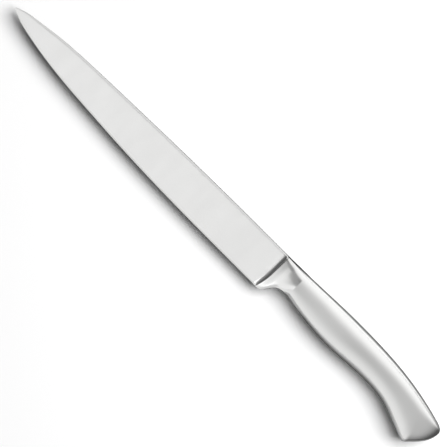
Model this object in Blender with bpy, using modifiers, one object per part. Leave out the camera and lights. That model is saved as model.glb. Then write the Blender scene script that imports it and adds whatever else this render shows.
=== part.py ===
"""Fillet knife, all stainless: a forged blade with its bolster, and a hollow handle of two half shells.

The knife lies on its flank, as on a table. +X runs from the tip to the butt, +Y from the edge to the spine,
+Z up. Lengths are in metres. While it is built, the bolster line is x = 0, the spine line is y = 0 and the
middle plane of the blade is z = 0. The last step stands it on z = 0 with its middle over the origin.
"""

import math

import bmesh
import bpy
import numpy as np
from mathutils import Vector, geometry

# Blade
BLADE_LENGTH = 0.210
HEEL_HEIGHT = 0.0254
SPINE_THICKNESS = 0.0024
FULL_STOCK_LENGTH = 0.060
POINT_THICKNESS = 0.0011
TIP_THICKNESS = 0.0006
EDGE_THICKNESS = 0.0005
BEVEL_HEIGHT = 0.0008
SPINE_EASE = 0.0004
TIP_DROP = 0.0100
TIP_NOSE = 0.00045

# Bolster
BOLSTER_LENGTH = 0.016
BOLSTER_FRONT_THICKNESS = 0.0060
COVE_RADIUS = 0.0016
LIP_RADIUS = 0.0006
COVE_SETBACK = 0.0010
HEEL_DEPTH = 0.00055
HEEL_SWEEP = 0.0022
SWEEP_FADE = 0.021

# Handle
HANDLE_LENGTH = 0.1168
MOUTH_RISE = 0.00025
MOUTH_HEIGHT = 0.0168
MOUTH_THICKNESS = 0.0128
CROWN_RISE = 0.0013
PALM_DEPTH = 0.02065
WAIST_DEPTH = 0.0193
BEAK_DEPTH = 0.0290
BUTT_DROP = 0.0115
PALM_THICKNESS = 0.0172
WAIST_THICKNESS = 0.0162
BUTT_THICKNESS = 0.0172
SHELL_WALL = 0.0010
WELD_GAP = 0.0003

# Inside the handle
SEAT_CLEARANCE = 0.0003
SPIGOT_LENGTH = 0.0045
TANG_HEIGHT = 0.0080
TANG_THICKNESS = 0.0030
KEY_NOTCH_RADIUS = 0.0014
KEY_NOTCHES = 3
TANG_TO_WEIGHT = 0.0048
WEIGHT_DIAMETER = 0.0090
WEIGHT_LENGTH = 0.0220
WEIGHT_CHAMFER = 0.0010
WEIGHT_HOLD = 0.0120
WEIGHT_TO_BUTT = 0.0295

# Side outlines of blade and notch: each point as shares of length and height, and its heading in degrees
SPINE_LINE = ((0, 0, 0), (0.095, 0, 0), (0.667, 0.21, -1.7), (0.905, 0.55, -8.3), (1, 1, -26.6))
EDGE_LINE = ((0, 0, 0), (0.095, 0, 0), (0.619, 0.18, 3.8), (0.905, 0.594, 10.9), (1, 1, 29.0))
POINT_START = 0.95
NOTCH_LINE = ((0.187, 0.155, 50), (0.419, 0.62, 53), (0.625, 0.937, 28), (0.89, 1.01, 0), (1, 1, -8))

# Side outline of the handle: each point as a share of its length, its height, and its heading in degrees
mouth_top = MOUTH_RISE
mouth_bottom = MOUTH_RISE - MOUTH_HEIGHT
BACK_LINE = (
    (0, mouth_top, 0.6),
    (0.33, CROWN_RISE, 0),
    (0.93, -0.55 * BUTT_DROP, -15.5),
    (1, -BUTT_DROP, -90),
)
BELLY_LINE = (
    (0, mouth_bottom, -11),
    (0.31, -PALM_DEPTH, 0),
    (0.545, -WAIST_DEPTH, 0),
    (0.758, -0.80 * BEAK_DEPTH, -21),
    (0.860, -0.96 * BEAK_DEPTH, -22),
    (0.915, -0.967 * BEAK_DEPTH, 46),
    (1, -BUTT_DROP, 90),
)
PALM_SHARE, WAIST_SHARE, DOME_SHARE = 0.36, 0.62, 0.85

# Sections: the share of the height at which each is widest, its roundness above and below, and its taper
MOUTH_SECTION = (0.46, 2.3, 2.0, 0.0)
WAIST_SECTION = (0.46, 2.2, 2.0, 0.0)
BUTT_SECTION = (0.36, 4.0, 1.9, 0.0)
BOLSTER_FRONT_SECTION = (0.10, 2.2, 6.0, 0.50)
TANG_SECTION = (0.50, 8.0, 8.0, 0.0)
SPINE_POWER = 3.0
DOME_POWER = 3.0
FLANK_POWER = 6.0
MOST_EASED = 0.15
MOST_BEVELLED = 0.30
SWEEP_FROM = 0.55
SWEEP_UNTIL = 0.60
COVE_STEEPEST = 75
LIP_SHALLOWEST = 28
CURVE_REACH = 0.36

# Fineness
TOP_POINTS = 7
LOW_POINTS = 9
PATH_STEPS = 40
BLADE_STATIONS = 26
COVE_STEPS = 5
LIP_STEPS = 2
BOLSTER_STATIONS = 14
HANDLE_STATIONS = 34
BUTT_CROWDING = 0.70
FILLER_STATIONS = 14
WEIGHT_SIDES = 32
NOTCH_SIDES = 16
JOIN_DISTANCE = 1e-6
SHARP_ANGLE = math.radians(30)

STEEL_COLOR = (0.60, 0.60, 0.60, 1.0)
RESIN_COLOR = (0.36, 0.34, 0.30, 1.0)


def smooth_path(nodes):
    """Points along a curve through nodes, each (x, y, heading in degrees)."""
    points = []
    for (x0, y0, heading0), (x1, y1, heading1) in zip(nodes, nodes[1:]):
        start, end = Vector((x0, y0)), Vector((x1, y1))
        reach = CURVE_REACH * (end - start).length
        leave = start + reach * Vector((math.cos(math.radians(heading0)), math.sin(math.radians(heading0))))
        arrive = end - reach * Vector((math.cos(math.radians(heading1)), math.sin(math.radians(heading1))))
        points += geometry.interpolate_bezier(start, leave, arrive, end, PATH_STEPS)[:-1]
    return np.array([tuple(point) for point in points] + [tuple(end)])


def height_at(path, x):
    """The path's y where it passes x, for a path whose x grows."""
    return float(np.interp(x, path[:, 0], path[:, 1]))


def at_shares(path, shares):
    """Points of the path at these shares of its length."""
    steps = np.hypot(*np.diff(path, axis=0).T)
    along = np.concatenate([[0.0], np.cumsum(steps)]) / steps.sum()
    return np.column_stack([np.interp(shares, along, path[:, 0]), np.interp(shares, along, path[:, 1])])


def half_section(widest, top_power, low_power, taper):
    """Half a section from its top to its bottom: shares of its height, and shares of its half thickness."""
    turn = np.linspace(0, math.pi / 2, TOP_POINTS)
    top_share = widest * (1 - np.cos(turn) ** (2 / top_power))
    top_half = np.sin(turn) ** (2 / top_power)
    turn = np.linspace(math.pi / 2, math.pi, LOW_POINTS)[1:]
    reach = np.abs(np.cos(turn)) ** (2 / low_power)
    low_share = widest + (1 - widest) * reach
    low_half = (1 - taper * reach) * np.sin(turn).clip(0) ** (2 / low_power)
    low_half[-1] = 0
    return np.concatenate([top_share, low_share]), np.concatenate([top_half, low_half])


def blend(first, second, share):
    """Each value of first moved this share of the way to second."""
    return tuple(a + (b - a) * share for a, b in zip(first, second))


def ease(share):
    """0 to 1, leaving and arriving level."""
    share = min(max(share, 0.0), 1.0)
    return share * share * (3 - 2 * share)


# Side outlines in metres. The blade's run from the bolster line towards the tip, with x as the distance.
edge_rise = HEEL_HEIGHT - TIP_DROP - TIP_NOSE
notch_rise = HEEL_HEIGHT + mouth_bottom
butt_x = BOLSTER_LENGTH + HANDLE_LENGTH
spine_path = smooth_path(
    [(BLADE_LENGTH * along, -TIP_DROP * down, turn) for along, down, turn in SPINE_LINE]
)
edge_path = smooth_path(
    [(BLADE_LENGTH * along, -HEEL_HEIGHT + edge_rise * up, turn) for along, up, turn in EDGE_LINE]
)
stock_path = smooth_path(
    [
        (0, SPINE_THICKNESS, 0),
        (FULL_STOCK_LENGTH, SPINE_THICKNESS, 0),
        (POINT_START * BLADE_LENGTH, POINT_THICKNESS, -0.9),
        (BLADE_LENGTH, TIP_THICKNESS, -4.0),
    ]
)
notch_path = smooth_path(
    [(-HEEL_SWEEP - COVE_SETBACK, -HEEL_HEIGHT, 0), (0, -HEEL_HEIGHT - HEEL_DEPTH, 0)]
    + [(BOLSTER_LENGTH * along, -HEEL_HEIGHT + notch_rise * up, turn) for along, up, turn in NOTCH_LINE]
)
back_path = smooth_path(
    [(BOLSTER_LENGTH + HANDLE_LENGTH * along, y, turn) for along, y, turn in BACK_LINE]
)
belly_path = smooth_path(
    [(BOLSTER_LENGTH + HANDLE_LENGTH * along, y, turn) for along, y, turn in BELLY_LINE]
)

# Places along x of what is inside the handle
tang_start = BOLSTER_LENGTH + SPIGOT_LENGTH
weight_end = butt_x - WEIGHT_TO_BUTT
weight_start = weight_end - WEIGHT_LENGTH
tang_end = weight_start - TANG_TO_WEIGHT
filler_end = weight_start + WEIGHT_HOLD
middle_y = (mouth_top + mouth_bottom) / 2


def handle_half_thickness(share):
    """Half the handle's thickness at a share of its length: swelling in the palm, domed over the butt."""
    shares = (0.0, PALM_SHARE, WAIST_SHARE, DOME_SHARE)
    sizes = (MOUTH_THICKNESS, PALM_THICKNESS, WAIST_THICKNESS, BUTT_THICKNESS)
    for (s0, t0), (s1, t1) in zip(zip(shares, sizes), zip(shares[1:], sizes[1:])):
        if share <= s1:
            return (t0 + (t1 - t0) * ease((share - s0) / (s1 - s0))) / 2
    dome = (share - DOME_SHARE) / (1 - DOME_SHARE)
    return BUTT_THICKNESS / 2 * max(1 - dome**DOME_POWER, 0.0) ** (1 / DOME_POWER)


def handle_half_ring(share, inset=0.0):
    """The half section of the handle at a share of its length, drawn in by inset, as points (x, y, z)."""
    (top,), (bottom,) = at_shares(back_path, [share]), at_shares(belly_path, [share])
    down = (bottom - top) / max(np.hypot(*(bottom - top)), 1e-9)
    top, bottom = top + inset * down, bottom - inset * down
    if share < 0.5:
        section = blend(MOUTH_SECTION, WAIST_SECTION, ease(share / 0.5))
    else:
        section = blend(WAIST_SECTION, BUTT_SECTION, ease((share - 0.5) / 0.5))
    shares, halves = half_section(*section)
    across = top + shares[:, None] * (bottom - top)
    return np.column_stack([across, (handle_half_thickness(share) - inset) * halves])


def blade_half_ring(distance, sweep):
    """The half section of the blade at a distance from the bolster line: eased spine, flat grind, edge bevel."""
    top, edge = height_at(spine_path, distance), height_at(edge_path, distance)
    height = top - edge
    spine_half, edge_half = height_at(stock_path, distance) / 2, EDGE_THICKNESS / 2
    eased = min(SPINE_EASE / height, MOST_EASED)
    bevel = min(BEVEL_HEIGHT / height, MOST_BEVELLED)
    turn = np.linspace(0, math.pi / 2, TOP_POINTS)
    top_share = eased * (1 - np.cos(turn) ** (2 / SPINE_POWER))
    top_half = spine_half * np.sin(turn) ** (2 / SPINE_POWER)
    reach = np.abs(np.cos(np.linspace(math.pi / 2, math.pi, LOW_POINTS)[1:-1])) ** (2 / FLANK_POWER)
    reach /= reach[-1]
    low_share = eased + (1 - eased - bevel) * reach
    low_half = spine_half + (min(edge_half, spine_half) - spine_half) * reach
    shares = np.concatenate([top_share, low_share, [1.0]])
    halves = np.concatenate([top_half, low_half, [0.0]])
    return np.column_stack([-distance - swept(shares, sweep), top - shares * height, halves])


def swept(shares, weight):
    """How far ahead of its station each point of a section lies, where the front line sweeps forward."""
    return weight * HEEL_SWEEP * ((shares - SWEEP_FROM) / (1 - SWEEP_FROM)).clip(0) ** 2


def bolster_half_ring(x, flare, sweep):
    """The half section of the bolster at x, with flare 0 at its front and 1 at the handle."""
    section = blend(BOLSTER_FRONT_SECTION, MOUTH_SECTION, flare)
    thickness = BOLSTER_FRONT_THICKNESS + (MOUTH_THICKNESS - BOLSTER_FRONT_THICKNESS) * flare
    shares, halves = half_section(*section)
    top = mouth_top * ease(x / BOLSTER_LENGTH)
    bottom = height_at(notch_path, x - sweep * HEEL_SWEEP)
    return np.column_stack([x - swept(shares, sweep), top + shares * (bottom - top), thickness / 2 * halves])


def cove_steps():
    """The step from blade to bolster, as (x, share of the rise): a hollow curve, then a rounded lip."""
    steep = math.radians(COVE_STEEPEST)
    steps = []
    for turn in np.linspace(0, steep, COVE_STEPS + 1):
        steps.append((COVE_RADIUS * math.sin(turn), COVE_RADIUS * (1 - math.cos(turn))))
    foot_x, foot_rise = steps[-1]
    for turn in np.linspace(steep, math.radians(LIP_SHALLOWEST), LIP_STEPS + 1)[1:]:
        across = LIP_RADIUS * (math.sin(steep) - math.sin(turn))
        steps.append((foot_x + across, foot_rise + LIP_RADIUS * (math.cos(turn) - math.cos(steep))))
    full_rise = steps[-1][1]
    return [(x - COVE_SETBACK, rise / full_rise) for x, rise in steps]


def whole_ring(half):
    """A closed ring from a half ring whose ends lie on the middle plane."""
    other = half[-2:0:-1] * (1, 1, -1)
    return np.vstack([half, other])


def forging_rings():
    """Every section of the forging, from the tip of the blade to the end of the tang."""
    steps = cove_steps()
    lip_x = steps[-1][0]
    rings = []
    turns = np.linspace(0, math.pi / 2, BLADE_STATIONS)
    for distance in COVE_SETBACK + (BLADE_LENGTH - COVE_SETBACK) * np.cos(turns):
        sweep = 1 - ease((distance - COVE_SETBACK) / SWEEP_FADE)
        rings.append(blade_half_ring(distance, sweep))
    front = bolster_half_ring(lip_x, 0.0, 1.0)
    root = rings[-1]
    for x, rise in steps[1:]:
        ring = root + (front - root) * rise
        ring[:, 0] = x - swept((front[:, 1] - front[0, 1]) / (front[-1, 1] - front[0, 1]), 1.0)
        ring[0, 2] = ring[-1, 2] = 0
        rings.append(ring)
    for flare in np.linspace(0, 1, BOLSTER_STATIONS)[1:]:
        x = lip_x + (BOLSTER_LENGTH - lip_x) * flare
        rings.append(bolster_half_ring(x, flare, 1 - ease(flare / SWEEP_UNTIL)))
    return rings + spigot_and_tang_rings(rings[-1])


def spigot_and_tang_rings(shoulder):
    """The spigot that the shells seat round, and the stub tang behind it."""
    inset = SHELL_WALL + SEAT_CLEARANCE
    top, bottom = shoulder[0, 1] - inset, shoulder[-1, 1] + inset
    shares, halves = half_section(*MOUTH_SECTION)
    x = np.full(len(shares), BOLSTER_LENGTH)
    y = top + shares * (bottom - top)
    spigot = np.column_stack([x, y, (MOUTH_THICKNESS / 2 - inset) * halves])
    spigot_end = spigot + (SPIGOT_LENGTH, 0, 0)
    return [spigot, spigot_end] + tang_rings(0.0)


def tang_rings(margin):
    """Sections of the tang at its two ends, made larger all round by margin."""
    top, bottom = middle_y + TANG_HEIGHT / 2 + margin, middle_y - TANG_HEIGHT / 2 - margin
    shares, halves = half_section(*TANG_SECTION)
    x = np.full(len(shares), tang_start)
    y = top + shares * (bottom - top)
    section = np.column_stack([x, y, (TANG_THICKNESS / 2 + margin) * halves])
    return [section, section + (tang_end + margin - tang_start, 0, 0)]


def lofted(name, rings, collection):
    """A closed solid through whole rings of equal length, with a flat face at each end."""
    mesh = bmesh.new()
    rows = [[mesh.verts.new(point) for point in ring] for ring in rings]
    for first, second in zip(rows, rows[1:]):
        for i in range(len(first)):
            j = (i + 1) % len(first)
            mesh.faces.new((first[i], second[i], second[j], first[j]))
    mesh.faces.new(rows[0])
    mesh.faces.new(reversed(rows[-1]))
    return finished(name, mesh, collection)


def finished(name, mesh, collection):
    """An object from a bmesh, with doubled points joined, faces turned outwards and smooth shading."""
    bmesh.ops.remove_doubles(mesh, verts=mesh.verts, dist=JOIN_DISTANCE)
    bmesh.ops.recalc_face_normals(mesh, faces=mesh.faces)
    data = bpy.data.meshes.new(name)
    mesh.to_mesh(data)
    mesh.free()
    data.shade_smooth()
    data.set_sharp_from_angle(angle=SHARP_ANGLE)
    obj = bpy.data.objects.new(name, data)
    collection.objects.link(obj)
    return obj


def make_cutter(obj):
    """Keeps a helper out of the render."""
    obj.hide_render = True
    obj.display_type = "WIRE"
    return obj


def cut(obj, cutter, name):
    """Takes a closed cutter away from an object."""
    modifier = obj.modifiers.new(name, "BOOLEAN")
    modifier.operation = "DIFFERENCE"
    modifier.object = cutter


def cylinder(name, radius, start, end, sides, collection):
    """A closed cylinder between two points."""
    start, end = Vector(start), Vector(end)
    mesh = bmesh.new()
    bmesh.ops.create_cone(
        mesh, cap_ends=True, segments=sides, radius1=radius, radius2=radius, depth=(end - start).length
    )
    turn = (end - start).to_track_quat("Z", "Y").to_matrix().to_4x4()
    bmesh.ops.transform(mesh, matrix=turn, verts=mesh.verts)
    bmesh.ops.translate(mesh, vec=(start + end) / 2, verts=mesh.verts)
    return finished(name, mesh, collection)


def key_notches(name, radius, collection):
    """Cutters for the notches that key the tang's two edges into the filler."""
    cutters = []
    for x in np.linspace(tang_start, tang_end, KEY_NOTCHES + 2)[1:-1]:
        for side in (1, -1):
            y = middle_y + side * TANG_HEIGHT / 2
            ends = (x, y, -TANG_THICKNESS), (x, y, TANG_THICKNESS)
            cutters.append(make_cutter(cylinder(name, radius, *ends, NOTCH_SIDES, collection)))
    return cutters


def make_forging(parts, cutters):
    """Blade, bolster, spigot and tang, forged in one piece."""
    forging = lofted("blade_forging", [whole_ring(half) for half in forging_rings()], parts)
    for notch in key_notches("key_notch", KEY_NOTCH_RADIUS, cutters):
        cut(forging, notch, notch.name)
    return forging


def shell_shares():
    """Stations along a half shell as shares of its length, from a weld gap off the bolster to the butt."""
    turns = np.linspace(0, math.pi / 2, HANDLE_STATIONS)
    crowded = BUTT_CROWDING * np.sin(turns) + (1 - BUTT_CROWDING) * np.linspace(0, 1, HANDLE_STATIONS)
    mouth = WELD_GAP / HANDLE_LENGTH
    return (mouth + (1 - mouth) * crowded).clip(0, 1)


def make_shell(name, side, parts, cutters):
    """One drawn half of the handle: an open surface, thickened inwards and trimmed flat at the weld."""
    mesh = bmesh.new()
    skirt = np.array((0, 0, side * (WELD_GAP + SHELL_WALL)))
    rows = []
    for share in shell_shares():
        half = handle_half_ring(share) * (1, 1, side)
        rows.append([mesh.verts.new(point) for point in (half[0] - skirt, *half, half[-1] - skirt)])
    for first, second in zip(rows, rows[1:]):
        for i in range(len(first) - 1):
            mesh.faces.new((first[i], second[i], second[i + 1], first[i + 1]))
    shell = finished(name, mesh, parts)
    wall = shell.modifiers.new("wall", "SOLIDIFY")
    wall.thickness = SHELL_WALL
    wall.offset = -1
    wall.use_even_offset = True
    cut(shell, trim_block(f"{name}_trim", side, cutters), "trim")
    return shell


def trim_block(name, side, collection):
    """A block over everything past the weld plane of one shell."""
    mesh = bmesh.new()
    bmesh.ops.create_cube(mesh, size=1)
    size = Vector((2 * HANDLE_LENGTH, 2 * BEAK_DEPTH, BUTT_THICKNESS))
    bmesh.ops.scale(mesh, vec=size, verts=mesh.verts)
    middle = (BOLSTER_LENGTH + HANDLE_LENGTH / 2, -BEAK_DEPTH / 2, side * (WELD_GAP - size.z) / 2)
    bmesh.ops.translate(mesh, vec=middle, verts=mesh.verts)
    return make_cutter(finished(name, mesh, collection))


def handle_middle_y(x):
    """Half way between the handle's back and its belly at x."""
    ring = handle_half_ring((x - BOLSTER_LENGTH) / HANDLE_LENGTH)
    return (ring[0, 1] + ring[-1, 1]) / 2


def make_weight(parts):
    """The balance weight: a turned slug, bedded in the filler by its front end."""
    radius = WEIGHT_DIAMETER / 2
    profile = [
        (0, WEIGHT_LENGTH),
        (radius - WEIGHT_CHAMFER, WEIGHT_LENGTH),
        (radius, WEIGHT_LENGTH - WEIGHT_CHAMFER),
        (radius, WEIGHT_CHAMFER),
        (radius - WEIGHT_CHAMFER, 0),
        (0, 0),
    ]
    mesh = bpy.data.meshes.new("balance_weight")
    edges = [(i, i + 1) for i in range(len(profile) - 1)]
    mesh.from_pydata([(r, 0, z) for r, z in profile], edges, [])
    weight = bpy.data.objects.new("balance_weight", mesh)
    parts.objects.link(weight)
    turned = weight.modifiers.new("turned", "SCREW")
    turned.steps = turned.render_steps = WEIGHT_SIDES
    turned.use_merge_vertices = True
    turned.merge_threshold = JOIN_DISTANCE
    turned.use_smooth_shade = False
    weight.location = (weight_start, handle_middle_y(filler_end), 0)
    weight.rotation_euler = (0, math.pi / 2, 0)
    return weight


def make_filler(parts, cutters):
    """The cast filler that bonds the tang and holds the weight."""
    inset = SHELL_WALL + SEAT_CLEARANCE
    first_share = (SPIGOT_LENGTH + SEAT_CLEARANCE) / HANDLE_LENGTH
    last_share = (filler_end - BOLSTER_LENGTH) / HANDLE_LENGTH
    shares = np.linspace(first_share, last_share, FILLER_STATIONS)
    rings = [whole_ring(handle_half_ring(share, inset)) for share in shares]
    filler = lofted("handle_filler", rings, parts)
    socket_rings = tang_rings(SEAT_CLEARANCE)
    socket_rings[0] = socket_rings[0] - (SPIGOT_LENGTH, 0, 0)
    socket = make_cutter(lofted("tang_socket", [whole_ring(half) for half in socket_rings], cutters))
    for notch in key_notches("key_rib", KEY_NOTCH_RADIUS - SEAT_CLEARANCE, cutters):
        cut(socket, notch, notch.name)
    cut(filler, socket, "socket")
    y = handle_middle_y(filler_end)
    ends = (weight_start - SEAT_CLEARANCE, y, 0), (weight_end + SEAT_CLEARANCE, y, 0)
    radius = WEIGHT_DIAMETER / 2 + SEAT_CLEARANCE
    pocket = make_cutter(cylinder("weight_pocket", radius, *ends, WEIGHT_SIDES, cutters))
    cut(filler, pocket, "pocket")
    return filler


def material(name, color, metallic, roughness):
    """A plain Principled material."""
    made = bpy.data.materials.new(name)
    made.use_nodes = True
    shader = made.node_tree.nodes["Principled BSDF"]
    shader.inputs["Base Color"].default_value = color
    shader.inputs["Metallic"].default_value = metallic
    shader.inputs["Roughness"].default_value = roughness
    return made


def stand_on_floor(knife, parts):
    """Moves the whole knife so that its box stands on z = 0 with its middle over the origin."""
    bpy.context.view_layer.update()
    graph = bpy.context.evaluated_depsgraph_get()
    corners = []
    for obj in parts:
        seen = obj.evaluated_get(graph)
        corners += [seen.matrix_world @ Vector(corner) for corner in seen.bound_box]
    corners = np.array(corners)
    low, high = corners.min(axis=0), corners.max(axis=0)
    knife.location = (-(low[0] + high[0]) / 2, -(low[1] + high[1]) / 2, -low[2])


def main():
    for obj in list(bpy.data.objects):
        bpy.data.objects.remove(obj)
    parts = bpy.data.collections.new("fillet_knife")
    cutters = bpy.data.collections.new("cutters")
    bpy.context.scene.collection.children.link(parts)
    bpy.context.scene.collection.children.link(cutters)
    steel_satin = material("satin_blade_steel", STEEL_COLOR, 1.0, 0.30)
    steel_polished = material("polished_handle_steel", STEEL_COLOR, 1.0, 0.18)
    resin = material("cast_resin", RESIN_COLOR, 0.0, 0.6)
    made = {
        make_forging(parts, cutters): steel_satin,
        make_shell("handle_shell_left", 1, parts, cutters): steel_polished,
        make_shell("handle_shell_right", -1, parts, cutters): steel_polished,
        make_filler(parts, cutters): resin,
        make_weight(parts): steel_satin,
    }
    knife = bpy.data.objects.new("knife", None)
    parts.objects.link(knife)
    for obj, finish in made.items():
        obj.data.materials.append(finish)
        obj.parent = knife
    for cutter in cutters.objects:
        cutter.parent = knife
    stand_on_floor(knife, made)


main()
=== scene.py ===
# %% [markdown]
# # A forged fillet knife, all in stainless steel
#
# The knife lies on its flank on a pale table, seen from straight above. The CAD frame holds its pieces
# at their real size and place. This script gives them the fine surfaces and finishes that a maker gives
# the real ones: a belt-ground blade, a polished bolster with a hollow cove, and a handle of two drawn
# half shells, welded, ground flush and polished to a soft satin.

# %% Load the frame
import math

import bmesh
import bpy
import numpy as np
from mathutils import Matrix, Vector, geometry


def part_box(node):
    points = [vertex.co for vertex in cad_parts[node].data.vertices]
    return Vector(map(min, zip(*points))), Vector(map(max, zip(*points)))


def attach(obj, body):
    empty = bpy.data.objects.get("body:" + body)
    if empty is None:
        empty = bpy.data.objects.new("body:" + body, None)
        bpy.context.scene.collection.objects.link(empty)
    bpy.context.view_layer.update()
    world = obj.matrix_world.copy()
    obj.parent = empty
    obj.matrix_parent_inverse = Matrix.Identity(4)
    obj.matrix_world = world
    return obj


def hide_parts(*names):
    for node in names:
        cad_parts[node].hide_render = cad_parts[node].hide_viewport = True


MM = 0.001

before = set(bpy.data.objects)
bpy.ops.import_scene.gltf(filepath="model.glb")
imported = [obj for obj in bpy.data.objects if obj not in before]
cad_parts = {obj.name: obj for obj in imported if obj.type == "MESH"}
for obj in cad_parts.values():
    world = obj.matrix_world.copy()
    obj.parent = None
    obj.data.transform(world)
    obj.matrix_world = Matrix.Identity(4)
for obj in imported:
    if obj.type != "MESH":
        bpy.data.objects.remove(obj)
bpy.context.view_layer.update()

# %% [markdown]
# ## Where the knife lies
#
# A knife is drawn from its bolster line, where blade and bolster meet. X runs from there to the butt, Y
# from the edge up to the spine, and Z out of the left flank. The tip, the handle's mouth and the butt
# are read from the frame, so every length along the knife follows the CAD.

# %% Measure the knife in the frame
BOLSTER_LENGTH = 16 * MM
MOUTH_RISE = 0.25 * MM
WELD_GAP = 0.3 * MM

forging_low, forging_high = (Vector(corner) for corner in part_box("blade_forging"))
shell_low, shell_high = (Vector(corner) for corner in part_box("handle_shell_left"))
mouth_x = shell_low.x - WELD_GAP
middle_z = (forging_low.z + forging_high.z) / 2
bolster_line = Vector((mouth_x - BOLSTER_LENGTH, forging_high.y - MOUTH_RISE, middle_z))
BLADE_LENGTH = bolster_line.x - forging_low.x
HANDLE_LENGTH = shell_high.x - mouth_x
print(f"blade {BLADE_LENGTH / MM:.1f} mm, handle {HANDLE_LENGTH / MM:.1f} mm")
print("bolster line at", bolster_line)

# %% [markdown]
# ## Outlines
#
# Seen from the side, a knife is a few long curves. A maker draws them through a handful of points, each
# with the direction the line has there. A cubic Bezier between each two points gives a line without
# bumps, and a section is then stretched between the upper and the lower line at every station. The
# lines below give each point as a share of the length, a height or a share of one, and a heading in
# degrees.

# %% A smooth line through a few points
CURVE_REACH = 0.36
PATH_STEPS = 60


def heading(degrees):
    """The unit vector that is turned this far from X."""
    return Vector((math.cos(math.radians(degrees)), math.sin(math.radians(degrees))))


def smooth_path(nodes):
    """Points along a curve through nodes, each (x, y, heading in degrees)."""
    points = []
    for (x0, y0, turn0), (x1, y1, turn1) in zip(nodes, nodes[1:]):
        start, end = Vector((x0, y0)), Vector((x1, y1))
        reach = CURVE_REACH * (end - start).length
        leave = start + reach * heading(turn0)
        arrive = end - reach * heading(turn1)
        points += geometry.interpolate_bezier(start, leave, arrive, end, PATH_STEPS)[:-1]
    return np.array([tuple(point) for point in points] + [tuple(end)])


def height_at(path, x):
    """The path's y where it passes x, for a path whose x grows."""
    return float(np.interp(x, path[:, 0], path[:, 1]))


def at_shares(path, shares):
    """Points of the path at these shares of its length."""
    steps = np.hypot(*np.diff(path, axis=0).T)
    along = np.concatenate([[0.0], np.cumsum(steps)]) / steps.sum()
    return np.column_stack([np.interp(shares, along, path[:, 0]), np.interp(shares, along, path[:, 1])])


def ease(share):
    """0 to 1, leaving and arriving level."""
    share = min(max(share, 0.0), 1.0)
    return share * share * (3 - 2 * share)


def blend(first, second, share):
    """Each value of first moved this share of the way to second."""
    return tuple(a + (b - a) * share for a, b in zip(first, second))


print("curves run through", PATH_STEPS, "points between each two drawn ones")

# %% Blade outlines: spine, edge and thickness
HEEL_HEIGHT = 25.6 * MM
TIP_DROP = 10.0 * MM
TIP_NOSE = 0.45 * MM
SPINE_THICKNESS = 2.4 * MM
FULL_STOCK_LENGTH = 60 * MM
POINT_THICKNESS = 1.1 * MM
TIP_THICKNESS = 0.6 * MM
POINT_START = 0.95
SPINE_LINE = ((0, 0, 0), (0.095, 0, 0), (0.667, 0.21, -1.7), (0.905, 0.55, -8.3), (1, 1, -26.6))
EDGE_LINE = ((0, 0, 0), (0.095, 0, 0), (0.619, 0.18, 3.8), (0.905, 0.594, 10.9), (1, 1, 29.0))
STOCK_LINE = (
    (0, SPINE_THICKNESS, 0),
    (FULL_STOCK_LENGTH, SPINE_THICKNESS, 0),
    (POINT_START * BLADE_LENGTH, POINT_THICKNESS, -0.9),
    (BLADE_LENGTH, TIP_THICKNESS, -4.0),
)

edge_rise = HEEL_HEIGHT - TIP_DROP - TIP_NOSE
spine_path = smooth_path(
    [(BLADE_LENGTH * along, -TIP_DROP * down, turn) for along, down, turn in SPINE_LINE]
)
edge_path = smooth_path(
    [(BLADE_LENGTH * along, -HEEL_HEIGHT + edge_rise * up, turn) for along, up, turn in EDGE_LINE]
)
stock_path = smooth_path(STOCK_LINE)
print(f"blade {HEEL_HEIGHT / MM:.1f} mm high at the heel")
print(f"spine {SPINE_THICKNESS / MM:.1f} mm thick")

# %% Bolster and handle outlines
MOUTH_HEIGHT = 16.8 * MM
COVE_SETBACK = 2.38 * MM
HEEL_DEPTH = 0.2 * MM
HEEL_SWEEP = 2.2 * MM
CROWN_RISE = 1.3 * MM
PALM_DEPTH = 20.65 * MM
WAIST_DEPTH = 19.3 * MM
BEAK_DEPTH = 29.0 * MM
BUTT_DROP = 11.5 * MM
mouth_top = MOUTH_RISE
mouth_bottom = MOUTH_RISE - MOUTH_HEIGHT
notch_rise = HEEL_HEIGHT + mouth_bottom
butt_x = BOLSTER_LENGTH + HANDLE_LENGTH
NOTCH_LINE = ((0.178, 0.07, 35), (0.393, 0.53, 56), (0.58, 0.896, 27), (0.80, 0.985, 5), (1, 1, -8))
BACK_LINE = (
    (0, mouth_top, 0.6),
    (0.33, CROWN_RISE, 0),
    (0.93, -0.54 * BUTT_DROP, -15.5),
    (1, -BUTT_DROP, -90),
)
BELLY_LINE = (
    (0, mouth_bottom, -11),
    (0.31, -PALM_DEPTH, 0),
    (0.545, -WAIST_DEPTH, 0),
    (0.758, -0.80 * BEAK_DEPTH, -21),
    (0.860, -0.96 * BEAK_DEPTH, -22),
    (0.915, -0.967 * BEAK_DEPTH, 46),
    (1, -BUTT_DROP, 90),
)

notch_path = smooth_path(
    [(-HEEL_SWEEP - COVE_SETBACK, -HEEL_HEIGHT, 0), (0, -HEEL_HEIGHT - HEEL_DEPTH, 0)]
    + [(BOLSTER_LENGTH * along, -HEEL_HEIGHT + notch_rise * up, turn) for along, up, turn in NOTCH_LINE]
)
back_path, belly_path = (
    smooth_path([(BOLSTER_LENGTH + HANDLE_LENGTH * along, y, turn) for along, y, turn in line])
    for line in (BACK_LINE, BELLY_LINE)
)
print(f"handle {MOUTH_HEIGHT / MM:.1f} mm high at its mouth, butt at x = {butt_x / MM:.1f} mm")

# %% [markdown]
# ## Sections
#
# Cut across, the blade is a slim wedge with an eased spine and a small honed bevel, and the handle is an
# egg. One family of curves, the superellipse, gives all of them: a power of 2 is an ellipse, and higher
# powers are squarer. Going along the knife, the section's numbers are blended from one to the next. The
# numbers are the share of the height at which the section is widest, its powers above and below that,
# and the share by which it tapers towards the bottom.

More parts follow.
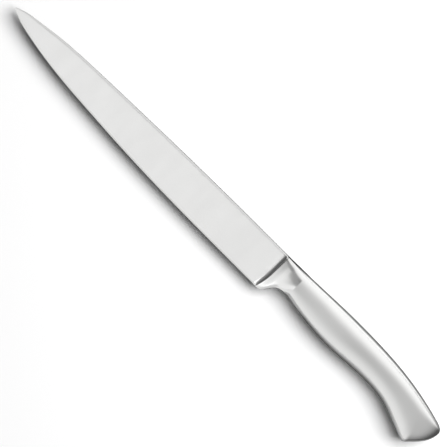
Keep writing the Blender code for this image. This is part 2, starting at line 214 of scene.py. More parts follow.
# %% Half sections of blade, bolster and handle
TOP_POINTS = 20
LOW_POINTS = 30
MOUTH_SECTION = (0.52, 2.4, 2.3, 0.0)
WAIST_SECTION = (0.46, 2.2, 2.0, 0.0)
BUTT_SECTION = (0.30, 3.0, 3.4, 0.16)
BOLSTER_FRONT_SECTION = (0.12, 2.8, 9.0, 0.68)
SPINE_EASE = 1.8 * MM
EDGE_THICKNESS = 0.5 * MM
BEVEL_HEIGHT = 0.8 * MM
SPINE_POWER = 2.2
FLANK_POWER = 6.0
MOST_EASED = 0.15
MOST_BEVELLED = 0.30
SWEEP_FROM = 0.45


def half_section(widest, top_power, low_power, taper):
    """Half a section from its top to its bottom: shares of its height, and shares of its half thickness."""
    turn = np.linspace(0, math.pi / 2, TOP_POINTS)
    top_share = widest * (1 - np.cos(turn) ** (2 / top_power))
    top_half = np.sin(turn) ** (2 / top_power)
    turn = np.linspace(math.pi / 2, math.pi, LOW_POINTS)[1:]
    reach = np.abs(np.cos(turn)) ** (2 / low_power)
    low_share = widest + (1 - widest) * reach
    low_half = (1 - taper * reach) * np.sin(turn).clip(0) ** (2 / low_power)
    low_half[-1] = 0
    return np.concatenate([top_share, low_share]), np.concatenate([top_half, low_half])


def swept(shares, weight):
    """How far ahead of its station each point of a section lies, where the front line sweeps forward."""
    return weight * HEEL_SWEEP * ((shares - SWEEP_FROM) / (1 - SWEEP_FROM)).clip(0) ** 2


def blade_half_ring(distance, sweep):
    """The half section of the blade at a distance from the bolster line: eased spine, flat grind, bevel."""
    top, edge = height_at(spine_path, distance), height_at(edge_path, distance)
    height = top - edge
    spine_half, edge_half = height_at(stock_path, distance) / 2, EDGE_THICKNESS / 2
    eased = min(SPINE_EASE / height, MOST_EASED)
    bevel = min(BEVEL_HEIGHT / height, MOST_BEVELLED)
    turn = np.linspace(0, math.pi / 2, TOP_POINTS)
    top_share = eased * (1 - np.cos(turn) ** (2 / SPINE_POWER))
    top_half = spine_half * np.sin(turn) ** (2 / SPINE_POWER)
    reach = np.abs(np.cos(np.linspace(math.pi / 2, math.pi, LOW_POINTS)[1:-1])) ** (2 / FLANK_POWER)
    reach /= reach[-1]
    low_share = eased + (1 - eased - bevel) * reach
    low_half = spine_half + (min(edge_half, spine_half) - spine_half) * reach
    shares = np.concatenate([top_share, low_share, [1.0]])
    halves = np.concatenate([top_half, low_half, [0.0]])
    return np.column_stack([-distance - swept(shares, sweep), top - shares * height, halves])


print("a half section has", TOP_POINTS + LOW_POINTS - 1, "points")

# %% The bolster's sections, from a wedge to the oval of the handle's mouth
BOLSTER_FRONT_THICKNESS = 6.5 * MM
MOUTH_THICKNESS = 12.8 * MM
COVE_RADIUS = 3.9 * MM
LIP_RADIUS = 0.3 * MM
COVE_STEEPEST = 75
LIP_SHALLOWEST = 28
COVE_STEPS = 12
LIP_STEPS = 6
GROUND_COVE = 3
UNCUT_SHARE = 0.35
NOTCH_POWER = 12.0


def bolster_half_ring(x, flare, sweep):
    """The half section of the bolster at x, with flare 0 at its front and 1 at the handle.

    The section is that of a whole wedge from heel to mouth, which the finger notch cuts short.
    """
    section = blend(BOLSTER_FRONT_SECTION, MOUTH_SECTION, (flare + ease(flare)) / 2)
    thickness = BOLSTER_FRONT_THICKNESS + (MOUTH_THICKNESS - BOLSTER_FRONT_THICKNESS) * flare
    shares, halves = half_section(*section)
    top = mouth_top * ease(x / BOLSTER_LENGTH)
    bottom = height_at(notch_path, x - sweep * HEEL_SWEEP)
    whole = mouth_bottom + (notch_path[0, 1] - mouth_bottom) * (1 - flare)
    uncut = min(bottom + (whole - bottom) * UNCUT_SHARE, bottom)
    halves = np.interp(shares * (top - bottom) / (top - uncut), shares, halves)
    halves *= (1 - shares**NOTCH_POWER) ** ((1 - flare) / NOTCH_POWER)
    halves[-1] = 0
    heights = top + shares * (bottom - top)
    return np.column_stack([x - swept(shares, sweep), heights, thickness / 2 * halves])


def cove_steps():
    """The step from blade to bolster, as (x, share of the rise): a hollow curve, then a rounded lip."""
    steep = math.radians(COVE_STEEPEST)
    steps = []
    for turn in np.linspace(0, steep, COVE_STEPS + 1):
        steps.append((COVE_RADIUS * math.sin(turn), COVE_RADIUS * (1 - math.cos(turn))))
    foot_x, foot_rise = steps[-1]
    for turn in np.linspace(steep, math.radians(LIP_SHALLOWEST), LIP_STEPS + 1)[1:]:
        across = LIP_RADIUS * (math.sin(steep) - math.sin(turn))
        steps.append((foot_x + across, foot_rise + LIP_RADIUS * (math.cos(turn) - math.cos(steep))))
    full_rise = steps[-1][1]
    return [(x - COVE_SETBACK, rise / full_rise) for x, rise in steps]


print(f"the cove rises over {(cove_steps()[-1][0] + COVE_SETBACK) / MM:.2f} mm of length")

# %% [markdown]
# ## The forging
#
# Blade, bolster and tang are one piece of steel. It is lofted: rings of points, one for each station,
# joined by quads. The stations crowd where the shape turns fast, at the point, in the cove and over the
# notch. The blade and the first rings of the cove are ground and the rest is polished, so the two
# finishes meet where a polisher's wheel would stop. The tang gets round notches by Boolean, as a maker
# would file them, so that the cast filler can't let go of it.

# %% Loft helpers
SHARP_ANGLE = math.radians(12)
JOIN_DISTANCE = 1e-6


def whole_ring(half):
    """A closed ring from a half ring whose ends lie on the middle plane."""
    other = half[-2:0:-1] * (1, 1, -1)
    return np.vstack([half, other])


def new_object(name, data):
    """A new object in the scene that shows this data."""
    made = bpy.data.objects.new(name, data)
    bpy.context.scene.collection.objects.link(made)
    return made


def mesh_object(name, mesh):
    """An object from a bmesh in knife coordinates, moved to its place in the frame and shaded smooth."""
    bmesh.ops.remove_doubles(mesh, verts=mesh.verts, dist=JOIN_DISTANCE)
    bmesh.ops.recalc_face_normals(mesh, faces=mesh.faces)
    bmesh.ops.translate(mesh, vec=bolster_line, verts=mesh.verts)
    data = bpy.data.meshes.new(name)
    mesh.to_mesh(data)
    mesh.free()
    data.shade_smooth()
    data.set_sharp_from_angle(angle=SHARP_ANGLE)
    return new_object(name, data)


def lay_uv(data, name, across, up):
    """A flat UV map in metres, whose u runs along one axis of the knife and whose v runs along another."""
    layer = data.uv_layers.new(name=name)
    for loop in data.loops:
        place = data.vertices[loop.vertex_index].co
        layer.data[loop.index].uv = (place[across], place[up])


print("loft helpers ready, creases sharper than", round(math.degrees(SHARP_ANGLE)), "degrees stay sharp")

# %% Loft the blade, the bolster and the tang
BLADE_STATIONS = 90
BOLSTER_STATIONS = 44
SWEEP_FADE = 21 * MM
SWEEP_UNTIL = 0.60
SHELL_WALL = 1.0 * MM
SEAT_CLEARANCE = 0.3 * MM
SPIGOT_LENGTH = 4.5 * MM
TANG_SECTION = (0.50, 8.0, 8.0, 0.0)
TANG_HEIGHT = 8.0 * MM
TANG_THICKNESS = 3.0 * MM
KEY_NOTCH_RADIUS = 1.4 * MM
KEY_NOTCHES = 3
NOTCH_SIDES = 24
GROUND, POLISHED = 0, 1


def blade_rings():
    """Sections of the blade from its point to the foot of the cove."""
    rings = []
    turns = np.linspace(0, math.pi / 2, BLADE_STATIONS)
    for distance in COVE_SETBACK + (BLADE_LENGTH - COVE_SETBACK) * np.cos(turns):
        rings.append(blade_half_ring(distance, 1 - ease((distance - COVE_SETBACK) / SWEEP_FADE)))
    return rings


def bolster_rings(root):
    """Sections from the foot of the cove, which is the blade's last one, to the handle's mouth."""
    steps = cove_steps()
    lip_x = steps[-1][0]
    front = bolster_half_ring(lip_x, 0.0, 1.0)
    rings = []
    for x, rise in steps[1:]:
        ring = root + (front - root) * rise
        ring[:, 0] = x - swept((front[:, 1] - front[0, 1]) / (front[-1, 1] - front[0, 1]), 1.0)
        ring[0, 2] = ring[-1, 2] = 0
        rings.append(ring)
    for flare in np.linspace(0, 1, BOLSTER_STATIONS)[1:]:
        x = lip_x + (BOLSTER_LENGTH - lip_x) * flare
        rings.append(bolster_half_ring(x, flare, 1 - ease(flare / SWEEP_UNTIL)))
    return rings


def flat_section(x, top, bottom, half_thickness, section):
    """A half section that stands square across the knife at x."""
    shares, halves = half_section(*section)
    heights = top + shares * (bottom - top)
    return np.column_stack([np.full(len(shares), x), heights, half_thickness * halves])


def tang_rings(tang_end):
    """The spigot that the shells seat round, and the stub tang behind it."""
    inset = SHELL_WALL + SEAT_CLEARANCE
    spigot = flat_section(
        BOLSTER_LENGTH, mouth_top - inset, mouth_bottom + inset,
        MOUTH_THICKNESS / 2 - inset, MOUTH_SECTION,
    )
    start = BOLSTER_LENGTH + SPIGOT_LENGTH
    tang = flat_section(
        start, tang_middle + TANG_HEIGHT / 2, tang_middle - TANG_HEIGHT / 2,
        TANG_THICKNESS / 2, TANG_SECTION,
    )
    return [spigot, spigot + (SPIGOT_LENGTH, 0, 0), tang, tang + (tang_end - start, 0, 0)]


def cut_key_notches(forging):
    """Round notches in both edges of the tang, where the cast filler keys in."""
    places = np.linspace(BOLSTER_LENGTH + SPIGOT_LENGTH, tang_end, KEY_NOTCHES + 2)[1:-1]
    for x in places:
        for side in (-1, 1):
            bpy.ops.mesh.primitive_cylinder_add(
                vertices=NOTCH_SIDES, radius=KEY_NOTCH_RADIUS, depth=2 * TANG_THICKNESS,
                location=bolster_line + Vector((x, tang_middle + side * TANG_HEIGHT / 2, 0)),
            )
            cutter = bpy.context.object
            cut = forging.modifiers.new("notch", "BOOLEAN")
            cut.operation, cut.solver, cut.object = "DIFFERENCE", "EXACT", cutter
            with bpy.context.temp_override(object=forging):
                bpy.ops.object.modifier_apply(modifier=cut.name)
            bpy.data.objects.remove(cutter)
    forging.data.set_sharp_from_angle(angle=SHARP_ANGLE)
    return 2 * len(places)


def make_forging():
    """Blade, bolster, spigot and tang in one loft, with a finish number on each face."""
    ground = blade_rings()
    polished = bolster_rings(ground[-1])
    tang = tang_rings(tang_end)
    mesh = bmesh.new()
    halves = ground + polished + tang
    rows = [[mesh.verts.new(point) for point in whole_ring(half)] for half in halves]
    for number, (first, second) in enumerate(zip(rows, rows[1:])):
        for i in range(len(first)):
            j = (i + 1) % len(first)
            face = mesh.faces.new((first[i], second[i], second[j], first[j]))
            face.material_index = GROUND if number < len(ground) + GROUND_COVE else POLISHED
    mesh.faces.new(rows[0])
    mesh.faces.new(reversed(rows[-1])).material_index = POLISHED
    forging = mesh_object("forged_blade_and_bolster", mesh)
    lay_uv(forging.data, "grind", across=0, up=1)
    return forging


tang_end = forging_high.x - bolster_line.x
tang_middle = (mouth_top + mouth_bottom) / 2
forging = make_forging()
notches = cut_key_notches(forging)
print("forging:", len(forging.data.polygons), "faces,", notches, "notches in the tang")

# %% [markdown]
# ## The handle shells
#
# Each half of a hollow handle is drawn from sheet, so it is modelled as an open surface and thickened
# inwards with Solidify. The two halves meet at the middle plane, where the weld is ground flush, and
# their mouths sit against the bolster.

# %% Sections along the handle
HANDLE_STATIONS = 120
WALL_ANGLE = math.radians(40)
BUTT_CROWDING = 0.70
PALM_THICKNESS = 17.2 * MM
WAIST_THICKNESS = 16.2 * MM
BUTT_THICKNESS = 17.2 * MM
PALM_SHARE, WAIST_SHARE, DOME_SHARE = 0.36, 0.62, 0.85
DOME_POWER = 3.0
HALFWAY = 0.5


def handle_half_thickness(share):
    """Half the handle's thickness at a share of its length: swelling in the palm, domed over the butt."""
    shares = (0.0, PALM_SHARE, WAIST_SHARE, DOME_SHARE)
    sizes = (MOUTH_THICKNESS, PALM_THICKNESS, WAIST_THICKNESS, BUTT_THICKNESS)
    for (s0, t0), (s1, t1) in zip(zip(shares, sizes), zip(shares[1:], sizes[1:])):
        if share <= s1:
            return (t0 + (t1 - t0) * ease((share - s0) / (s1 - s0))) / 2
    dome = (share - DOME_SHARE) / (1 - DOME_SHARE)
    return BUTT_THICKNESS / 2 * max(1 - dome**DOME_POWER, 0.0) ** (1 / DOME_POWER)


def handle_half_ring(share):
    """The half section of the handle at a share of its length, as points (x, y, z)."""
    (top,), (bottom,) = at_shares(back_path, [share]), at_shares(belly_path, [share])
    if share < HALFWAY:
        section = blend(MOUTH_SECTION, WAIST_SECTION, ease(share / HALFWAY))
    else:
        section = blend(WAIST_SECTION, BUTT_SECTION, ease((share - HALFWAY) / (1 - HALFWAY)))
    shares, halves = half_section(*section)
    across = top + shares[:, None] * (bottom - top)
    return np.column_stack([across, handle_half_thickness(share) * halves])


def make_shell(name, side):
    """One half of the handle, thickened inwards from its outer surface."""
    turns = np.linspace(0, math.pi / 2, HANDLE_STATIONS)
    stations = BUTT_CROWDING * np.sin(turns) + (1 - BUTT_CROWDING) * np.linspace(0, 1, HANDLE_STATIONS)
    mesh = bmesh.new()
    rows = []
    for share in stations.clip(0, 1):
        rows.append([mesh.verts.new(point) for point in handle_half_ring(share) * (1, 1, side)])
    for first, second in zip(rows, rows[1:]):
        for i in range(len(first) - 1):
            mesh.faces.new((first[i], second[i], second[i + 1], first[i + 1]))
    shell = mesh_object(name, mesh)
    wall = shell.modifiers.new("wall", "SOLIDIFY")
    wall.thickness = SHELL_WALL
    wall.offset = -1
    with bpy.context.temp_override(object=shell):
        bpy.ops.object.modifier_apply(modifier=wall.name)
    shell.data.set_sharp_from_angle(angle=WALL_ANGLE)
    return shell


left_shell = make_shell("left_handle_shell", 1)
right_shell = make_shell("right_handle_shell", -1)
print("each shell:", len(left_shell.data.polygons), "faces")

# %% [markdown]
# ## Finishes
#
# All the steel here is stainless, so its colour is a near-neutral grey and only the way each surface was
# made tells them apart. Colours are written as sRGB hex values, as a colour picker shows them, and one
# function turns them to the linear values that the renderer works with.

# %% Colour and node helpers
STAINLESS = "#F7F7F6"
MARK_DEPTH = 0.02 * MM


def linear(code):
    """An sRGB hex colour as linear RGBA, by the constants of the sRGB curve."""
    parts = [int(code[i : i + 2], 16) / 255 for i in (1, 3, 5)]
    return [
        part / 12.92 if part <= 0.04045 else ((part + 0.055) / 1.055) ** 2.4 for part in parts
    ] + [1.0]


def add(tree, kind, settings=None, **links):
    """A new node with its settings. Each link is a value for the input of that name, or a socket."""
    node = tree.nodes.new(kind)
    for key, value in (settings or {}).items():
        setattr(node, key, value)
    for key, value in links.items():
        wanted = key.replace("_", " ").lower()
        socket = next(item for item in node.inputs if item.enabled and item.name.lower() == wanted)
        if isinstance(value, bpy.types.NodeSocket):
            tree.links.new(value, socket)
        else:
            socket.default_value = value
    return node


def fade(tree, value, stretch, levels):
    """A socket that moves smoothly from one level to another while value crosses the stretch."""
    node = add(
        tree, "ShaderNodeMapRange", {"interpolation_type": "SMOOTHSTEP"}, value=value,
        from_min=stretch[0], from_max=stretch[1], to_min=levels[0], to_max=levels[1],
    )
    return node.outputs[0]


def combine(tree, operation, first, second):
    """A socket with the result of a Math node on two sockets."""
    node = add(tree, "ShaderNodeMath", {"operation": operation})
    tree.links.new(first, node.inputs[0])
    tree.links.new(second, node.inputs[1])
    return node.outputs[0]


def between(tree, share, first, second):
    """A socket that is first where share is 0 and second where it is 1."""
    node = add(tree, "ShaderNodeMix", {"data_type": "FLOAT"}, factor=share, a=first, b=second)
    return node.outputs["Result"]


def empty_material(name):
    """A new material without nodes, and its node tree."""
    made = bpy.data.materials.new(name)
    made.use_nodes = True
    made.node_tree.nodes.clear()
    return made, made.node_tree


def metal(name, base):
    """A new metal with a Principled shader, and its node tree."""
    made = bpy.data.materials.new(name)
    made.use_nodes = True
    shader = made.node_tree.nodes["Principled BSDF"]
    shader.inputs["Base Color"].default_value = linear(base)
    shader.inputs["Metallic"].default_value = 1.0
    return made, made.node_tree, shader


def grains(tree, size, detail):
    """A noise socket whose grains have this size along X, Y and Z of the knife."""
    place = add(tree, "ShaderNodeTexCoord").outputs["Object"]
    drawn_out = add(tree, "ShaderNodeMapping", vector=place, scale=[1 / length for length in size])
    noise = add(tree, "ShaderNodeTexNoise", vector=drawn_out.outputs[0], scale=1.0, detail=detail)
    return noise.outputs[0]


def drift(tree, shader, tones, spread, roughness):
    """Lets the roughness of a shader go from one value to another as the tones cross their spread."""
    node = add(
        tree, "ShaderNodeMapRange", value=tones,
        from_min=spread[0], from_max=spread[1], to_min=roughness[0], to_max=roughness[1],
    )
    tree.links.new(node.outputs[0], shader.inputs["Roughness"])


def emboss(tree, shader, pattern, strength):
    """Lets a pattern stand up from the surface, by MARK_DEPTH at full strength."""
    bump = add(tree, "ShaderNodeBump", height=pattern, strength=strength, distance=MARK_DEPTH)
    tree.links.new(bump.outputs[0], shader.inputs["Normal"])


print("mid grey #808080 is", round(linear("#808080")[0], 3), "in linear light")

# %% [markdown]
# ### Ground blade: knife stainless, belt ground and glazed
#
# A hardened martensitic stainless is ground flat from spine to edge and glazed on a felt wheel. The
# lines of the last wheel run across the blade, from spine to edge, too close to see one by one. They show
# as a soft satin that spreads reflections along the blade, which the anisotropy gives here. Very shallow
# lines half a millimetre apart and faint bands a few millimetres wide stand for what is left of them.

# %% Ground stainless of the blade
GRIND_LINE = 0.5 * MM
GRIND_LENGTH = 18 * MM
GRIND_RELIEF = 0.08
BAND_WIDTH = 6 * MM
BAND_SPREAD = (0.3, 0.7)
GROUND_ROUGHNESS = (0.35, 0.37)
GROUND_ANISOTROPY = 0.4

ground_steel, tree, shader = metal("belt_ground_stainless", STAINLESS)
lines = grains(tree, (GRIND_LINE, GRIND_LENGTH, GRIND_LENGTH), detail=3.0)
emboss(tree, shader, lines, GRIND_RELIEF)
bands = grains(tree, (BAND_WIDTH, GRIND_LENGTH, GRIND_LENGTH), detail=2.0)
drift(tree, shader, bands, BAND_SPREAD, GROUND_ROUGHNESS)
grain = add(tree, "ShaderNodeTangent", {"direction_type": "UV_MAP", "uv_map": "grind"})
tree.links.new(grain.outputs[0], shader.inputs["Tangent"])
shader.inputs["Anisotropic"].default_value = GROUND_ANISOTROPY
print("ground steel: lines", GRIND_LINE / MM, "mm apart")

# %% [markdown]
# ### Polished bolster: the same steel off a finer wheel
#
# The bolster is ground and polished by hand, so it is the brightest part of the knife: it still mirrors
# the room, a little softened, with a few fine hairlines that follow the wheel round it.

# %% Polished stainless of the bolster
HAIRLINE = 0.8 * MM
HAIRLINE_LENGTH = 9 * MM
POLISH_RELIEF = 0.05
SMUDGE = 14 * MM
SMUDGE_SPREAD = (0.35, 0.65)
POLISHED_ROUGHNESS = (0.13, 0.18)

polished_steel, tree, shader = metal("hand_polished_stainless", STAINLESS)
hairs = grains(tree, (HAIRLINE, HAIRLINE_LENGTH, HAIRLINE_LENGTH), detail=3.0)
emboss(tree, shader, hairs, POLISH_RELIEF)
drift(tree, shader, grains(tree, [SMUDGE] * 3, detail=3.0), SMUDGE_SPREAD, POLISHED_ROUGHNESS)
print("polished steel: hairlines", HAIRLINE / MM, "mm apart")

# %% [markdown]
# ### Handle: 18/10 stainless sheet, drawn and satin polished
#
# The shells are pressed from soft austenitic sheet, welded, ground and then polished along the handle to
# a silky satin. It blurs reflections more than the bolster does, so the handle shows broad soft tones.

# %% Satin stainless of the handle
POLISH_LINE = 0.6 * MM
POLISH_LENGTH = 16 * MM
SATIN_ROUGHNESS = (0.20, 0.25)

satin_steel, tree, shader = metal("satin_polished_stainless", STAINLESS)
lines = grains(tree, (POLISH_LENGTH, POLISH_LINE, POLISH_LINE), detail=3.0)
emboss(tree, shader, lines, POLISH_RELIEF)
drift(tree, shader, grains(tree, [SMUDGE] * 3, detail=3.0), SMUDGE_SPREAD, SATIN_ROUGHNESS)
print("satin steel: lines", POLISH_LINE / MM, "mm apart")

# %% [markdown]
# ### Inside the handle: cast epoxy and turned steel
#
# Nobody sees these until the handle is cut open, but they are pieces of the knife. The filler is a
# mineral-filled casting epoxy, matt and slightly speckled. The weight is turned bar, with the fine rings
# that the tool leaves round it.

# %% Cast epoxy of the filler
SPECK = 0.7 * MM
EPOXY_ROUGHNESS = 0.6
EPOXY_TONES = ((0.35, "#97928A"), (0.65, "#A8A49B"))

epoxy = bpy.data.materials.new("mineral_filled_epoxy")
epoxy.use_nodes = True
tree = epoxy.node_tree
shader = tree.nodes["Principled BSDF"]
shader.inputs["Roughness"].default_value = EPOXY_ROUGHNESS
tones = add(tree, "ShaderNodeValToRGB", fac=grains(tree, [SPECK] * 3, detail=2.0))
for stop, (position, colour) in zip(tones.color_ramp.elements, EPOXY_TONES):
    stop.position, stop.color = position, linear(colour)
tree.links.new(tones.outputs[0], shader.inputs["Base Color"])
print("epoxy: specks", SPECK / MM, "mm wide")

# %% Turned steel of the weight
TURNING_FEED = 0.25 * MM
TURNING_RELIEF = 0.3
TURNED_ROUGHNESS = 0.32

turned_steel, tree, shader = metal("turned_mild_steel", "#C9C8C6")
shader.inputs["Roughness"].default_value = TURNED_ROUGHNESS
emboss(tree, shader, grains(tree, (TURNING_FEED, math.inf, math.inf), detail=1.0), TURNING_RELIEF)
print("turned steel: rings", TURNING_FEED / MM, "mm apart")

# %% Put each finish on its piece
forging.data.materials.append(ground_steel)
forging.data.materials.append(polished_steel)
for shell in (left_shell, right_shell):
    shell.data.materials.append(satin_steel)
for node, finish in (("handle_filler", epoxy), ("balance_weight", turned_steel)):
    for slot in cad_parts[node].material_slots:
        slot.material = finish

for piece, node, slot in (
    (forging, "blade_forging", "satin_blade_steel"),
    (left_shell, "handle_shell_left", "polished_handle_steel"),
    (right_shell, "handle_shell_right", "polished_handle_steel"),
):
    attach(piece, "root")
    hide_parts(node)
    print(piece.name, "stands for", node)

# %% [markdown]
# ## Table, light and camera
#
# The knife lies on white, with one soft shadow along its edge side, and a matt white table takes that
# shadow. Steel is a mirror, and close to its own rim it mirrors the table. For mirrored rays alone the
# table is given painted shade there: darkest right under the steel, wider beside the blade than beside
# the handle, and darker on the edge side, which faces away from the key light, where it adds to the real
# shadow of the key light. Past the butt it is painted dark for mirrored rays. Each stretch below says
# where along the knife, or across it, one level gives way to the next.

# %% The white table
TABLE_SIZE = 6.0
TABLE_WHITE = "#F4F4F4"
# The values from here on give the table painted shade, and a painted dark past the butt, that only mirrored
# rays see.
NEAR_STEEL = 12 * MM
CLEAR_OF_BLADE = 110 * MM
CLEAR_OF_HANDLE = 65 * MM
CLEAR_STRETCH = (48 * MM, 64 * MM)
PAINTED_SHADE_DARKEST = (0.0, 0.12)
DARKEST_STRETCH = (45 * MM, 60 * MM)
CLEAR_LEVEL = 0.91
SPINE_SIDE_STRETCH = (-10 * MM, 5 * MM)
HANDLE_STRETCH = (55 * MM, 70 * MM)
HANDLE_SHARE = 0.35
GRIP_START_STRETCH = (58 * MM, 72 * MM)
GRIP_END_STRETCH = (128 * MM, 146 * MM)
EDGE_SIDE_PAINTED_SHADE = 0.34
GRIP_SIDE_PAINTED_SHADE = 0.12
BUTT_STRETCH = (165 * MM, 200 * MM)
PAST_BUTT_PAINTED_DARK = 0.12

table_white, tree = empty_material("white_table_with_painted_mirror_shade")
ray = add(tree, "ShaderNodeLightPath")
place = add(tree, "ShaderNodeSeparateXYZ", vector=add(tree, "ShaderNodeTexCoord").outputs["Object"])
along, across = place.outputs["X"], place.outputs["Y"]

# Painted shade for mirrored rays: the closer to the steel a mirrored ray meets the table, the darker the
# table is drawn.
clear_at = fade(tree, along, CLEAR_STRETCH, (CLEAR_OF_BLADE, CLEAR_OF_HANDLE))
darkest = fade(tree, along, DARKEST_STRETCH, PAINTED_SHADE_DARKEST)
near = fade(tree, ray.outputs["Ray Length"], (NEAR_STEEL, clear_at), (darkest, CLEAR_LEVEL))

# On the edge side the painted shade is a flat level, darker beside the grip; on the spine side it follows
# the distance from the steel, and beside the handle the two are mixed.
spine_side = fade(tree, across, SPINE_SIDE_STRETCH, (0.0, 1.0))
handle_side = fade(tree, along, HANDLE_STRETCH, (0.0, HANDLE_SHARE))
near_share = combine(tree, "MAXIMUM", spine_side, handle_side)
past_mouth = fade(tree, along, GRIP_START_STRETCH, (0.0, 1.0))
before_butt = fade(tree, along, GRIP_END_STRETCH, (1.0, 0.0))
beside_grip = combine(tree, "MINIMUM", past_mouth, before_butt)
edge_side_painted_shade = between(tree, beside_grip, EDGE_SIDE_PAINTED_SHADE, GRIP_SIDE_PAINTED_SHADE)
level = between(tree, near_share, edge_side_painted_shade, near)
# Past the butt the table is painted dark for mirrored rays.
painted_mirror_shade = combine(tree, "MULTIPLY", level, fade(tree, along, BUTT_STRETCH, (1.0, PAST_BUTT_PAINTED_DARK)))

# Camera and diffuse rays see the plain matt white table; mirrored rays see it with the painted shade.
matt = add(tree, "ShaderNodeBsdfDiffuse", color=linear(TABLE_WHITE))
mirrored = add(tree, "ShaderNodeBsdfDiffuse", color=painted_mirror_shade)
both = add(tree, "ShaderNodeMixShader", fac=ray.outputs["Is Glossy Ray"])
tree.links.new(matt.outputs[0], both.inputs[1])
tree.links.new(mirrored.outputs[0], both.inputs[2])
add(tree, "ShaderNodeOutputMaterial", surface=both.outputs[0])

bpy.ops.mesh.primitive_plane_add(size=TABLE_SIZE)
table = bpy.context.object
table.name = "table"
table.data.materials.append(table_white)
print("table", TABLE_SIZE, "m wide")

# %% [markdown]
# ### The room that the steel mirrors
#
# What polished steel mirrors matters as much as the lamps, so a photographer sets white and black cards
# all round it. Here the cards are soft patches of the world, each with a direction, a width and a level:
# grey overhead, where the camera hangs, white towards the spine side, pale grey towards the edge side, and
# black past both ends, which draws the dark wedge on the bolster. Only mirrored rays see them. A card
# stands before those above it in the list.

# %% The cards of the room
ROOM_LEVEL = 0.50
FILL_LEVEL = 0.10
BACKDROP_LEVEL = 1.0
# Each card: its name, its centre, how directions are stretched round it, the distance from the centre
# up to which it is full and that at which it is gone, and its level
CARDS = (
    ("pale half towards the tip", (-0.6, 0.0, 0.0), (1, 0, 0), 0.50, 0.75, 0.57),
    ("white spine side", (0.0, 1.0, 0.0), (0, 1, 0), 0.05, 1.08, 1.07),
    ("pale edge side", (0.0, -1.0, 0.0), (0, 1, 0), 0.05, 0.85, 0.82),
    ("grey foot of the spine side", (0.0, 1.0, 0.0), (0, 0.7, 5.0), 0.05, 1.0, 0.80),
    ("white card off the tip's edge side", (-0.75, -0.35, 0.0), (1, 0.8, 0), 0.50, 0.66, 0.90),
    ("dark card off the tip's spine side", (-0.60, 0.25, 0.0), (1, 0.8, 0), 0.31, 0.38, 0.22),
    ("black past the butt", (1.0, 0.0, 0.0), (1, 0, 0), 0.05, 0.85, 0.08),
    ("black past the tip", (-1.0, 0.0, 0.0), (1, 0.7, 0), 0.25, 0.50, 0.10),
)

world = bpy.data.worlds.new("white_studio")
bpy.context.scene.world = world
world.use_nodes = True
tree = world.node_tree
tree.nodes.clear()


def vector_step(tree, operation, value, by=(0, 0, 0)):
    """A Vector Math node on a socket and a fixed vector."""
    node = add(tree, "ShaderNodeVectorMath", {"operation": operation})
    tree.links.new(value, node.inputs[0])
    node.inputs[1].default_value = by
    return node.outputs


def card(tree, behind, centre, stretch, inner, outer, level):
    """The room with one more card in it: full level within inner of its centre, and gone beyond outer."""
    way = add(tree, "ShaderNodeTexCoord").outputs["Generated"]
    off = vector_step(tree, "SUBTRACT", way, centre)[0]
    distance = vector_step(tree, "LENGTH", vector_step(tree, "MULTIPLY", off, stretch)[0])["Value"]
    return between(tree, fade(tree, distance, (inner, outer), (1.0, 0.0)), behind, level)


room = ROOM_LEVEL
for name, centre, stretch, inner, outer, level in CARDS:
    room = card(tree, room, centre, stretch, inner, outer, level)

ray = add(tree, "ShaderNodeLightPath")
lit = between(tree, ray.outputs["Is Glossy Ray"], FILL_LEVEL, room)
clear = combine(tree, "MAXIMUM", ray.outputs["Is Camera Ray"], ray.outputs["Is Transmission Ray"])
shown = between(tree, clear, lit, BACKDROP_LEVEL)
background = add(tree, "ShaderNodeBackground", color=(1, 1, 1, 1), strength=shown)
add(tree, "ShaderNodeOutputWorld", surface=background.outputs[0])
print("room: level", ROOM_LEVEL, "overhead, fill", FILL_LEVEL)
print("cards:", ", ".join(row[0] for row in CARDS))

# %% [markdown]
# ### Two flags on the spine side
#
# A flag is a sheet that stands just out of the picture. The pale one stands along the blade and keeps its
# eased spine from turning black, and the dark one stands beside the bolster and gives its upper edge the
# thin dark line that sets it off. Nothing but mirrored rays sees them.

# %% The flags
FLAG_FROM_SPINE = 50 * MM
FLAGS_START, FLAGS_MEET, FLAGS_END = -500 * MM, -4 * MM, 11 * MM
PALE_HEIGHT, PALE_LEVEL = 55 * MM, 0.72
DARK_HEIGHT, DARK_LEVEL = 15 * MM, 0.15


def make_flag(name, start, stop, height, level):
    """A sheet that stands on the spine side, from start to stop along the knife. Only steel mirrors it."""
    grey, tree = empty_material(name)
    glow = add(tree, "ShaderNodeEmission", strength=level)
    add(tree, "ShaderNodeOutputMaterial", surface=glow.outputs[0])
    mesh = bpy.data.meshes.new(name)
    corners = [(start, 0, 0), (stop, 0, 0), (stop, 0, height), (start, 0, height)]
    mesh.from_pydata(corners, [], [(0, 1, 2, 3)])
    mesh.materials.append(grey)
    flag = new_object(name, mesh)
    flag.location = (bolster_line.x, bolster_line.y + FLAG_FROM_SPINE, 0)
    flag.visible_camera = flag.visible_diffuse = False
    flag.visible_shadow = flag.visible_transmission = False


make_flag("pale_blade_flag", FLAGS_START, FLAGS_MEET, PALE_HEIGHT, PALE_LEVEL)
make_flag("dark_bolster_flag", FLAGS_MEET, FLAGS_END, DARK_HEIGHT, DARK_LEVEL)
print("two flags", FLAG_FROM_SPINE / MM, "mm off the spine")

# %% [markdown]
# ### The lamps
#
# A softbox almost as wide as it is far away lights the table from the spine side and gives the one soft
# shadow. The steel doesn't mirror it, because the cards stand in for it there. A second panel hangs level
# over the knife and lights the forging alone, so the flat flank comes out an even pale grey.

# %% The key light, a large softbox off the spine side
KEY_DISTANCE = 1.5
KEY_SIZE = 1.3
KEY_RISE = 54.7
KEY_SIDE = 50
KEY_POWER = 38.0

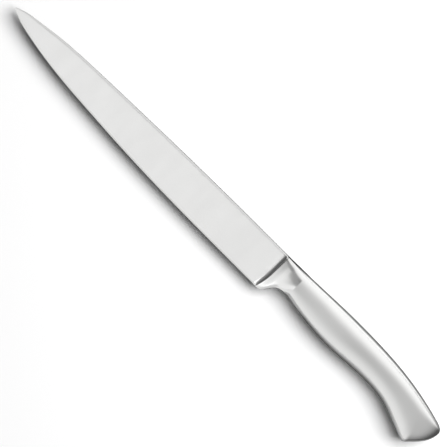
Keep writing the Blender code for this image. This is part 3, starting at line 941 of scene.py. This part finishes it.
key = new_object("key_softbox", bpy.data.lights.new("key_softbox", "AREA"))
key.data.size = KEY_SIZE
key.data.energy = KEY_POWER
side, rise = math.radians(KEY_SIDE), math.radians(KEY_RISE)
level_way = Vector((math.cos(side), math.sin(side), 0))
key.location = KEY_DISTANCE * (math.cos(rise) * level_way + math.sin(rise) * Vector((0, 0, 1)))
key.rotation_euler = key.location.to_track_quat("Z", "Y").to_euler()
key.visible_glossy = False
print("key light at", [round(value, 2) for value in key.location])

# %% A panel over the blade and the bolster
PANEL_HEIGHT = 3.0
PANEL_LOW = (-0.92, -0.75)
PANEL_HIGH = (0.70, 0.40)
PANEL_LEVEL = 0.64

blade_side = bpy.data.collections.new("blade_side")
blade_side.objects.link(forging)
panel = new_object("overhead_panel", bpy.data.lights.new("overhead_panel", "AREA"))
panel.data.shape = "RECTANGLE"
panel.data.size = PANEL_HIGH[0] - PANEL_LOW[0]
panel.data.size_y = PANEL_HIGH[1] - PANEL_LOW[1]
panel.data.energy = PANEL_LEVEL * math.pi * panel.data.size * panel.data.size_y
panel.location = ((PANEL_LOW[0] + PANEL_HIGH[0]) / 2, (PANEL_LOW[1] + PANEL_HIGH[1]) / 2, PANEL_HEIGHT)
panel.light_linking.receiver_collection = blade_side
panel.visible_camera = False
print("panel", round(panel.data.size, 2), "by", round(panel.data.size_y, 2), "m over the blade")

# %% [markdown]
# ### The camera
#
# The knife is seen square-on, with its tip to the upper left and its butt to the lower right. The camera
# hangs two metres up and is turned by 45 degrees about the view. Its lens follows from how many
# millimetres of knife one pixel of the photo spans.

# %% The camera, straight above
PHOTO_WIDTH, PHOTO_HEIGHT = 440, 447
BLADE_PIXELS = 367.5
BOLSTER_COLUMN, BOLSTER_ROW = 287.92, 255.08
CAMERA_HEIGHT = 2.0
CAMERA_TURN = math.radians(45)

pixel = BLADE_LENGTH / BLADE_PIXELS
right = Vector((1, 1, 0)).normalized()
up = Vector((-1, 1, 0)).normalized()
rightward = (PHOTO_WIDTH / 2 - BOLSTER_COLUMN) * pixel
upward = (BOLSTER_ROW - PHOTO_HEIGHT / 2) * pixel
aim = bolster_line + right * rightward + up * upward
camera = new_object("camera", bpy.data.cameras.new("camera"))
camera.data.sensor_fit = "HORIZONTAL"
camera.data.lens = camera.data.sensor_width * CAMERA_HEIGHT / (PHOTO_WIDTH * pixel)
camera.location = aim + Vector((0, 0, CAMERA_HEIGHT))
camera.rotation_euler = (0, 0, CAMERA_TURN)
bpy.context.scene.camera = camera
bpy.context.scene.view_settings.view_transform = "Standard"
print("camera looks down at", [round(value / MM, 1) for value in aim], "mm")
